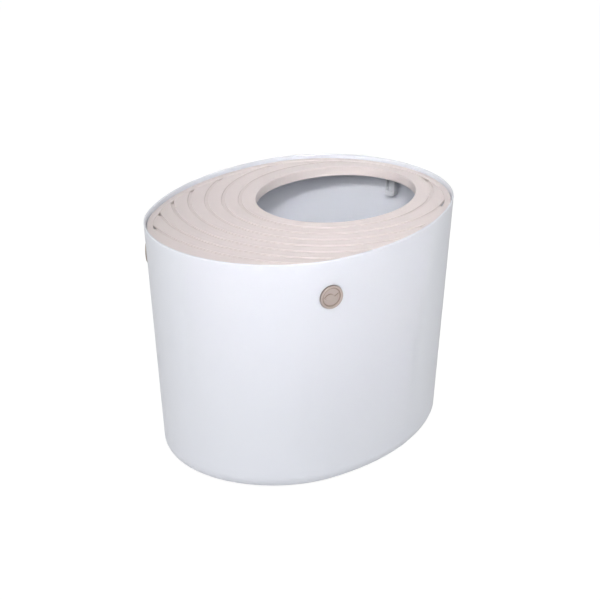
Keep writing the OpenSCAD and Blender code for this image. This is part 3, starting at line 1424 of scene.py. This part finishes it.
    def cutter(self) -> bpy.types.Object:
        """Makes the solid that the badge's pocket is cut with.

        Returns:
            The solid, in place on the wall.
        """
        skin = Skin()
        wide = self.r + self.gap
        above = self.proud + self.cut_over
        add_turned(skin, [(wide, -self.seat), (wide, above)], self.place, self.steps)
        mesh = skin.mesh(f"{self.node}_cutter")
        tidy_mesh(mesh)
        return add_object(mesh)

    def build(self) -> bpy.types.Object:
        """Builds the badge on the wall.

        Returns:
            The finished badge.
        """
        skin = Skin()
        lathe(skin, self.profile(), self.steps)
        self.add_relief(skin)
        mesh = skin.mesh(f"{self.node}_moulding")
        self.paint_recess_shade(mesh)
        mesh.transform(self.place)
        tidy_mesh(mesh, 50.0)
        piece = add_object(mesh)
        dress(piece, BADGE_BEIGE.material(), Body.PAN, self.node, BADGE_BEIGE.slot)
        return piece


# ---------------------------------------------------------------- the hook


@dataclass
class ScoopHook:
    """The pocket inside the far wall that a scoop hangs in."""

    sizes: Sizes
    width: float = 18.0
    high: float = 30.0
    deep: float = 8.5
    thick: float = 1.8
    rib: float = 3.0
    lip: float = 8.0
    round_r: float = 5.0
    drop: float = 54.5
    standoff: float = 5.0
    boss_r: float = 6.0
    peg_r: float = 3.0
    bevel: float = 0.5

    @property
    def low(self) -> float:
        """Level of the hook's lowest point."""
        return self.sizes.height - self.drop

    @property
    def peg_z(self) -> float:
        """Level of the hook's peg."""
        return self.low + self.high - self.boss_r

    @property
    def wall_x(self) -> float:
        """The wall's inner face at the peg."""
        return self.sizes.length / 2 - self.sizes.inner(self.peg_z)

    @property
    def boss_place(self) -> Matrix:
        """Placement of the boss, with +Z into the pan."""
        spot = Vector((self.wall_x, 0.0, self.peg_z)) * MM
        return Matrix.Translation(spot) @ Matrix.Rotation(-math.pi / 2, 4, "Y")

    def boss(self) -> list[tuple[float, float]]:
        """Lists radius and height of the boss, from inside the wall to its tip."""
        return [(self.boss_r, -1.5), (self.boss_r, self.standoff)]

    def outline(self, inset: float) -> list[tuple[float, float]]:
        """Lists the hook's front view from one top corner round to the other.

        Args:
            inset: How far the outline is moved inwards.

        Returns:
            Place across and height above the hook's lowest point.
        """
        half, r = self.width / 2 - inset, self.round_r - inset
        side = half - r
        left = [(-half, self.high), (-half, self.lip)]
        left += arc((-side, self.round_r), r, 180, 270, 8)
        return left + [(-x, z) for x, z in left[::-1]]

    def row(self, skin: Skin, inset: float, depth: float) -> list[int]:
        """Adds the outline to a skin at a depth from the hook's back.

        Args:
            skin: The hook's skin.
            inset: How far the outline is moved inwards.
            depth: Distance from the hook's back.

        Returns:
            The numbers of the points.
        """
        x = self.wall_x - self.standoff - depth
        return skin.row([(x, y, self.low + z) for y, z in self.outline(inset)])

    def build(self) -> bpy.types.Object:
        """Builds the hook.

        Returns:
            The finished hook.
        """
        skin = Skin()
        back, front = self.row(skin, 0.0, 0.0), self.row(skin, 0.0, self.deep)
        floor = self.row(skin, self.rib, self.thick)
        inside = self.row(skin, self.rib, self.deep - self.thick)
        mouth = self.row(skin, self.rib, self.deep)
        last = len(back) - 1
        for j in range(last):
            at_end = j in (0, last - 1)
            skin.faces.append([back[j], back[j + 1], front[j + 1], front[j]])
            skin.faces.append([front[j], front[j + 1], mouth[j + 1], mouth[j]])
            if at_end:
                ends = (inside[1], mouth[1]) if j == 0 else (inside[-2], mouth[-2])
                far = mouth[0] if j == 0 else mouth[-1]
                top = floor[0] if j == 0 else floor[-1]
                low = floor[1] if j == 0 else floor[-2]
                skin.faces.append([top, low, ends[0], ends[1], far])
            else:
                skin.faces.append([floor[j], floor[j + 1], inside[j + 1], inside[j]])
        skin.cap(back)
        skin.cap(floor)
        skin.cap(mouth[1:-1])
        skin.cap(inside[1:-1])
        skin.faces.append([inside[1], inside[-2], mouth[-2], mouth[1]])
        top = [back[0], back[-1], front[-1], mouth[-1]]
        skin.cap(top + [floor[-1], floor[0], mouth[0], front[0]])
        peg = [(self.peg_r, -self.standoff - 0.5), (self.peg_r, -0.5)]
        seat = self.boss_place @ Matrix.Translation((0.0, 0.0, self.standoff * MM))
        mesh = skin.mesh("scoop_hook_moulding")
        tidy_mesh(mesh)
        piece = add_object(mesh)
        self.soften(piece)
        pegs = Skin()
        add_turned(pegs, [(r, z + 1.0) for r, z in peg], seat, 24)
        add_parts(piece, pegs)
        dress(piece, HOOK_WHITE.material(), Body.PAN, "scoop_hook", HOOK_WHITE.slot)
        return piece

    def soften(self, piece: bpy.types.Object) -> None:
        """Rounds the hook's edges.

        Args:
            piece: The hook.
        """
        rounding = piece.modifiers.new("soft_edges", "BEVEL")
        rounding.width = self.bevel * MM
        rounding.segments = 3
        rounding.angle_limit = math.radians(40.0)
        keep_result(piece, rounding)


# ---------------------------------------------------------------- the feet


class FootNubs:
    """The node tree that sets grip nubs in rings under a foot."""

    def __init__(self) -> None:
        """Builds the tree."""
        self.tree = bpy.data.node_groups.new("foot_nubs", "GeometryNodeTree")
        face = self.tree.interface
        face.new_socket(
            "Geometry", in_out="INPUT", socket_type="NodeSocketGeometry"
        )
        self.ids = {}
        for name, kind in (
            ("Nub Radius", "NodeSocketFloat"),
            ("Nub Rise", "NodeSocketFloat"),
            ("Ring Step", "NodeSocketFloat"),
            ("Centre", "NodeSocketVector"),
            ("Material", "NodeSocketMaterial"),
        ):
            socket = face.new_socket(name, in_out="INPUT", socket_type=kind)
            self.ids[name] = socket.identifier
        face.new_socket(
            "Geometry", in_out="OUTPUT", socket_type="NodeSocketGeometry"
        )
        self._wire()

    def _wire(self, rings: int = 2, per_ring: int = 6) -> None:
        """Places and links the tree's nodes.

        Args:
            rings: Number of rings of nubs.
            per_ring: Number of nubs in the first ring, and how many more each next one has.
        """
        nodes, link = self.tree.nodes, self.tree.links.new
        given, out = nodes.new("NodeGroupInput"), nodes.new("NodeGroupOutput")
        join = nodes.new("GeometryNodeJoinGeometry")
        nub = nodes.new("GeometryNodeMeshUVSphere")
        nub.inputs["Segments"].default_value = 12
        nub.inputs["Rings"].default_value = 6
        link(given.outputs["Nub Radius"], nub.inputs["Radius"])
        flat = nodes.new("ShaderNodeCombineXYZ")
        ratio = nodes.new("ShaderNodeMath")
        ratio.operation = "DIVIDE"
        link(given.outputs["Nub Rise"], ratio.inputs[0])
        link(given.outputs["Nub Radius"], ratio.inputs[1])
        flat.inputs["X"].default_value = 1.0
        flat.inputs["Y"].default_value = 1.0
        link(ratio.outputs["Value"], flat.inputs["Z"])
        for ring in range(1, rings + 1):
            circle = nodes.new("GeometryNodeMeshCircle")
            circle.inputs["Vertices"].default_value = ring * per_ring
            reach = nodes.new("ShaderNodeMath")
            reach.operation = "MULTIPLY"
            link(given.outputs["Ring Step"], reach.inputs[0])
            reach.inputs[1].default_value = float(ring)
            link(reach.outputs["Value"], circle.inputs["Radius"])
            scatter = nodes.new("GeometryNodeInstanceOnPoints")
            link(circle.outputs["Mesh"], scatter.inputs["Points"])
            link(nub.outputs["Mesh"], scatter.inputs["Instance"])
            link(flat.outputs["Vector"], scatter.inputs["Scale"])
            link(scatter.outputs["Instances"], join.inputs["Geometry"])
        place = nodes.new("GeometryNodeTransform")
        link(join.outputs["Geometry"], place.inputs["Geometry"])
        link(given.outputs["Centre"], place.inputs["Translation"])
        both = nodes.new("GeometryNodeJoinGeometry")
        link(place.outputs["Geometry"], both.inputs["Geometry"])
        link(given.outputs["Geometry"], both.inputs["Geometry"])
        real = nodes.new("GeometryNodeRealizeInstances")
        paint = nodes.new("GeometryNodeSetMaterial")
        link(both.outputs["Geometry"], real.inputs["Geometry"])
        link(real.outputs["Geometry"], paint.inputs["Geometry"])
        link(given.outputs["Material"], paint.inputs["Material"])
        link(paint.outputs["Geometry"], out.inputs["Geometry"])


@dataclass
class Foot:
    """A rubber foot, pressed into the pan's underside."""

    node: str
    nub_r: float = 1.0
    nub_rise: float = 0.5
    ring_step: float = 3.4
    round_r: float = 0.8
    top_r: float = 0.3
    face_in: float = 2.5
    steps: int = 64

    def build(self, nubs: FootNubs) -> bpy.types.Object:
        """Builds the foot where its node stands.

        Args:
            nubs: The tree that adds the grip nubs.

        Returns:
            The finished foot.
        """
        low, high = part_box(self.node)
        middle = (low + high) / 2 / MM
        r, top = (high.x - low.x) / 2 / MM, high.z / MM
        base = self.nub_rise
        profile = [(r - self.face_in, base), (r - self.round_r, base)]
        edge = arc((r - self.round_r, base + self.round_r), self.round_r, -90, 0, 5)
        profile += edge[1:] + [(r, top - self.top_r), (r - self.top_r, top)]
        skin = Skin()
        lathe(skin, profile, self.steps)
        mesh = skin.mesh(f"{self.node}_rubber")
        mesh.transform(Matrix.Translation(Vector((middle.x, middle.y, 0.0)) * MM))
        tidy_mesh(mesh)
        piece = add_object(mesh)
        material = RUBBER.material()
        values = {
            nubs.ids["Nub Radius"]: self.nub_r * MM,
            nubs.ids["Nub Rise"]: self.nub_rise * MM,
            nubs.ids["Ring Step"]: self.ring_step * MM,
            nubs.ids["Centre"]: (middle.x * MM, middle.y * MM, base * MM),
            nubs.ids["Material"]: material,
        }
        apply_tree(piece, nubs.tree, values)
        dress(piece, material, Body.PAN, self.node, RUBBER.slot)
        return piece


# ---------------------------------------------------------------- the studio


@dataclass(frozen=True)
class Viewpoint:
    """The camera, placed round the box by two angles and a distance."""

    azimuth: float = -55.14
    elevation: float = 21.51
    distance: float = 4.0587
    lens: float = 158.8
    sensor: float = 36.0
    aim_right: float = -0.00123
    aim_up: float = 0.03052

    def build(self, height: float) -> bpy.types.Object:
        """Makes the scene's camera.

        Args:
            height: Height of the box, in metres.

        Returns:
            The camera.
        """
        a, e = math.radians(self.azimuth), math.radians(self.elevation)
        back = Vector(
            (math.sin(a) * math.cos(e), -math.cos(a) * math.cos(e), math.sin(e))
        )
        right = Vector((math.cos(a), math.sin(a), 0.0))
        up = back.cross(right)
        aim = Vector((0.0, 0.0, height / 2)) + right * self.aim_right + up * self.aim_up
        data = bpy.data.cameras.new("camera")
        data.lens, data.sensor_width = self.lens, self.sensor
        made = bpy.data.objects.new("camera", data)
        bpy.context.scene.collection.objects.link(made)
        made.matrix_world = Matrix.Translation(aim + back * self.distance) @ (
            Matrix((right, up, back)).transposed().to_4x4()
        )
        bpy.context.scene.camera = made
        return made


@dataclass(frozen=True)
class Softbox:
    """A square light that looks at a point of the box."""

    name: str
    place: Point
    size: float
    watts: float
    aim: Point = (0.0, 0.0, 0.2)
    spread: float = 180.0

    def build(self) -> None:
        """Makes the light."""
        data = bpy.data.lights.new(self.name, "AREA")
        data.size, data.energy = self.size, self.watts
        data.spread = math.radians(self.spread)
        made = bpy.data.objects.new(self.name, data)
        bpy.context.scene.collection.objects.link(made)
        made.location = Vector(self.place)
        made.rotation_mode = "QUATERNION"
        back = Vector(self.place) - Vector(self.aim)
        made.rotation_quaternion = back.to_track_quat("Z", "Y")


@dataclass(frozen=True)
class Studio:
    """The pale floor, the even surrounding light and the softboxes."""

    floor_size: float = 60.0
    floor_tone: float = 0.85
    floor_glow: float = 0.85
    floor_white: float = 1.1
    surround: float = 0.45
    boxes: tuple[Softbox, ...] = (
        Softbox("key_softbox", (-2.4, -2.2, 2.6), 2.4, 74.0),
        Softbox("side_softbox", (-3.2, 1.2, 1.6), 2.2, 34.0),
        Softbox("far_softbox", (-0.6, -3.6, 1.6), 2.2, 12.0),
        Softbox("hole_softbox", (-1.84, -1.35, 2.2), 0.5, 0.42, (0.115, -0.022, 0.33), 10.0),
    )

    def build(self) -> None:
        """Makes the surroundings, the lights and the floor."""
        bpy.context.scene.view_settings.view_transform = "Standard"
        bpy.context.scene.world = self.surroundings()
        for box in self.boxes:
            box.build()
        half = self.floor_size / 2
        mesh = bpy.data.meshes.new("studio_floor")
        ground = [(-half, -half, 0), (half, -half, 0), (half, half, 0), (-half, half, 0)]
        mesh.from_pydata(ground, [], [(0, 1, 2, 3)])
        mesh.materials.append(self.paper())
        add_object(mesh)

    def surroundings(self) -> bpy.types.World:
        """Makes a world that looks white and lights the box more softly than that.

        Returns:
            The world.
        """
        world = bpy.data.worlds.new("surroundings")
        world.use_nodes = True
        nodes, link = world.node_tree.nodes, world.node_tree.links.new
        light = nodes["Background"]
        light.inputs["Color"].default_value = (1.0, 1.0, 1.0, 1.0)
        light.inputs["Strength"].default_value = self.surround
        white = nodes.new("ShaderNodeBackground")
        white.inputs["Color"].default_value = (1.0, 1.0, 1.0, 1.0)
        self._seen_or_lit(nodes, link, light, white, 1.0, nodes["World Output"])
        return world

    def paper(self) -> bpy.types.Material:
        """Makes the floor's white paper, which glows a little to the eye.

        Returns:
            The floor's material.
        """
        made = bpy.data.materials.new("white_paper")
        made.use_nodes = True
        nodes, link = made.node_tree.nodes, made.node_tree.links.new
        shader = nodes["Principled BSDF"]
        shader.inputs["Base Color"].default_value = (*(self.floor_tone,) * 3, 1.0)
        shader.inputs["Roughness"].default_value = 0.9
        glow = nodes.new("ShaderNodeEmission")
        glow.inputs["Strength"].default_value = self.floor_white
        out = nodes["Material Output"]
        self._seen_or_lit(nodes, link, shader, glow, self.floor_glow, out)
        return made

    @staticmethod
    def _seen_or_lit(
        nodes: bpy.types.Nodes,
        link: Callable[..., object],
        lit: bpy.types.Node,
        seen: bpy.types.Node,
        share: float,
        out: bpy.types.Node,
    ) -> None:
        """Mixes one shader for what is seen directly and one for the light it gives.

        Args:
            nodes: The tree's nodes.
            link: The tree's function that makes a link.
            lit: The shader that gives light.
            seen: The shader that is seen.
            share: How much of the seen shader shows.
            out: The output node.
        """
        path = nodes.new("ShaderNodeLightPath")
        part = nodes.new("ShaderNodeMath")
        part.operation = "MULTIPLY"
        part.inputs[1].default_value = share
        mix = nodes.new("ShaderNodeMixShader")
        link(path.outputs["Is Camera Ray"], part.inputs[0])
        link(part.outputs["Value"], mix.inputs["Fac"])
        link(lit.outputs[0], mix.inputs[1])
        link(seen.outputs[0], mix.inputs[2])
        link(mix.outputs["Shader"], out.inputs["Surface"])


def main() -> None:
    """Builds every piece round the frame."""
    logging.basicConfig(level=logging.INFO, format="%(name)s %(message)s")
    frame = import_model()
    sizes = Sizes()
    Viewpoint().build(sizes.height * MM)
    Studio().build()
    badges = [
        Badge(sizes, Side.RIGHT, "badge_right"),
        Badge(sizes, Side.LEFT, "badge_left"),
    ]
    hook = ScoopHook(sizes)
    Pan(sizes).build(badges, hook)
    Lid(sizes).build()
    for badge in badges:
        badge.build()
    hook.build()
    nubs = FootNubs()
    for node in sorted(frame["nodes"]):
        if node.startswith("foot_"):
            Foot(node).build(nubs)


if __name__ == "__main__":
    main()
